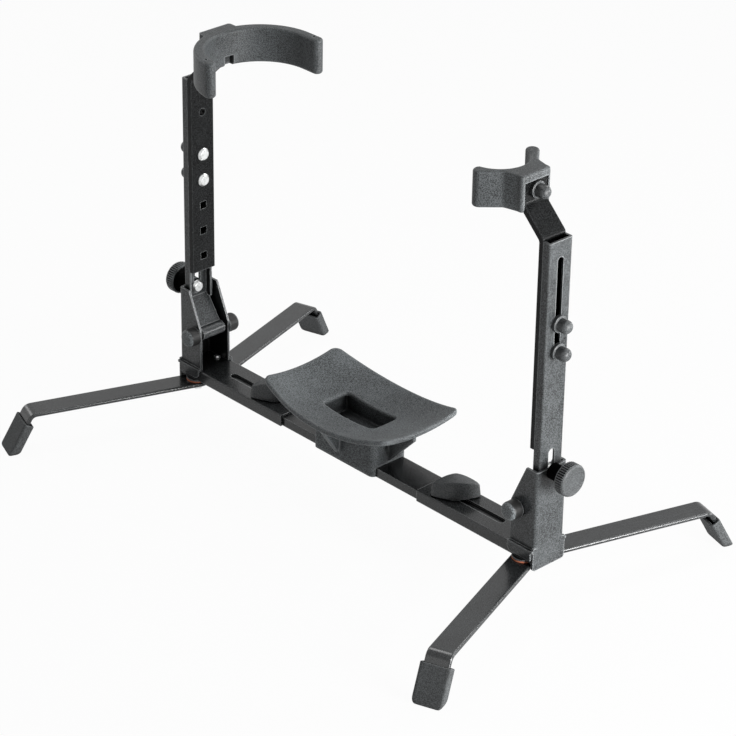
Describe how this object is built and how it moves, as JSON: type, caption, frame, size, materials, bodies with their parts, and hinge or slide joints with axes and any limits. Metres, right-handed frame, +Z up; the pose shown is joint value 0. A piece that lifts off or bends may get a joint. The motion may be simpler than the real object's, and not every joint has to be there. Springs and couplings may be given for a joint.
{
  "type": "euphonium stand",
  "caption": "Low folding floor stand with splayed legs, a moulded cradle on a telescopic rail, and slotted uprights carrying a C-shaped bell holder and a fork.",
  "frame": {"origin": "bottom centre of the bounding box: on the floor, midway between the two ends, in the rail's middle plane", "axes": "+X along the rail from the bell holder's end to the fork's end, +Y to the rear legs, +Z up"},
  "size_m": [0.5498, 0.364, 0.3697],
  "materials": {
    "black_steel": "satin black powder coat",
    "plastic": "fine-grained dark grey",
    "rubber": "matt dark grey",
    "zinc": "bright zinc",
    "fibre": "copper-red fibre"
  },
  "bodies": {
    "base": {"centre_rail": "black_steel", "cradle": "plastic", "cradle_screws": "zinc", "left_wing_stud": "zinc", "left_wing_washer": "black_steel", "right_wing_stud": "zinc", "right_wing_washer": "black_steel"},
    "left_end": {"left_rail_channel": "black_steel", "left_bracket": "black_steel", "left_hinge_rod": "black_steel", "left_rod_caps": "plastic", "left_pivot_pins": "zinc", "left_pivot_spacers": "black_steel", "left_steel_washers": "black_steel", "left_fibre_washers": "fibre", "left_lock_nuts": "zinc", "left_upright": "black_steel"},
    "left_front_leg_body": {"left_front_leg": "black_steel", "left_front_foot": "rubber"},
    "left_rear_leg_body": {"left_rear_leg": "black_steel", "left_rear_foot": "rubber"},
    "left_mast": {"left_strap": "black_steel", "left_strap_bolts": "zinc", "left_cap_nuts": "plastic", "bell_holder": "plastic", "holder_bolt": "zinc", "holder_cap_nut": "plastic"},
    "left_clamp": {"left_thumb_bolt": "zinc"},
    "left_thumb": {"left_thumb_knob": "plastic"},
    "left_wing": {"left_wing_knob": "plastic"},
    "right_end": {"right_rail_channel": "black_steel", "right_bracket": "black_steel", "right_hinge_rod": "black_steel", "right_rod_caps": "plastic", "right_pivot_pins": "zinc", "right_pivot_spacers": "black_steel", "right_steel_washers": "black_steel", "right_fibre_washers": "fibre", "right_lock_nuts": "zinc", "right_upright": "black_steel"},
    "right_front_leg_body": {"right_front_leg": "black_steel", "right_front_foot": "rubber"},
    "right_rear_leg_body": {"right_rear_leg": "black_steel", "right_rear_foot": "rubber"},
    "right_mast": {"right_strap": "black_steel", "right_strap_bolts": "zinc", "right_cap_nuts": "plastic", "fork": "plastic", "fork_bolt": "zinc", "fork_cap_nut": "plastic"},
    "right_clamp": {"right_thumb_bolt": "zinc"},
    "right_thumb": {"right_thumb_knob": "plastic"},
    "right_wing": {"right_wing_knob": "plastic"}
  },
  "joints": [
    {"name": "left_rail_slide", "type": "slide", "parent": "base", "child": "left_end", "axis": [-1, 0, 0], "range_m": [-0.035, 0.006]},
    {"name": "left_front_leg_swing", "type": "hinge", "parent": "left_end", "child": "left_front_leg_body", "pos_m": [-0.2015, -0.0115, 0.0355], "axis": [0, 0, 1], "range_deg": [0, 105]},
    {"name": "left_rear_leg_swing", "type": "hinge", "parent": "left_end", "child": "left_rear_leg_body", "pos_m": [-0.2015, 0.0115, 0.0355], "axis": [0, 0, -1], "range_deg": [0, 105]},
    {"name": "left_strap_slide", "type": "slide", "parent": "left_end", "child": "left_mast", "axis": [0, 0, 1], "range_m": [0, 0.05]},
    {"name": "left_clamp_lift", "type": "slide", "parent": "left_end", "child": "left_clamp", "axis": [0, 0, 1], "range_m": [0, 0.013]},
    {"name": "left_thumb_spin", "type": "hinge", "parent": "left_clamp", "child": "left_thumb", "pos_m": [-0.218, 0, 0.12], "axis": [-1, 0, 0], "continuous": true},
    {"name": "left_wing_spin", "type": "hinge", "parent": "base", "child": "left_wing", "pos_m": [-0.112, 0, 0.0503], "axis": [0, 0, 1], "continuous": true},
    {"name": "right_rail_slide", "type": "slide", "parent": "base", "child": "right_end", "axis": [1, 0, 0], "range_m": [-0.035, 0.006]},
    {"name": "right_front_leg_swing", "type": "hinge", "parent": "right_end", "child": "right_front_leg_body", "pos_m": [0.2015, -0.0115, 0.0355], "axis": [0, 0, -1], "range_deg": [0, 105]},
    {"name": "right_rear_leg_swing", "type": "hinge", "parent": "right_end", "child": "right_rear_leg_body", "pos_m": [0.2015, 0.0115, 0.0355], "axis": [0, 0, 1], "range_deg": [0, 105]},
    {"name": "right_strap_slide", "type": "slide", "parent": "right_end", "child": "right_mast", "axis": [0, 0, 1], "range_m": [0, 0.05]},
    {"name": "right_clamp_lift", "type": "slide", "parent": "right_end", "child": "right_clamp", "axis": [0, 0, 1], "range_m": [0, 0.013]},
    {"name": "right_thumb_spin", "type": "hinge", "parent": "right_clamp", "child": "right_thumb", "pos_m": [0.218, 0, 0.12], "axis": [1, 0, 0], "continuous": true},
    {"name": "right_wing_spin", "type": "hinge", "parent": "base", "child": "right_wing", "pos_m": [0.112, 0, 0.0503], "axis": [0, 0, 1], "continuous": true}
  ]
}
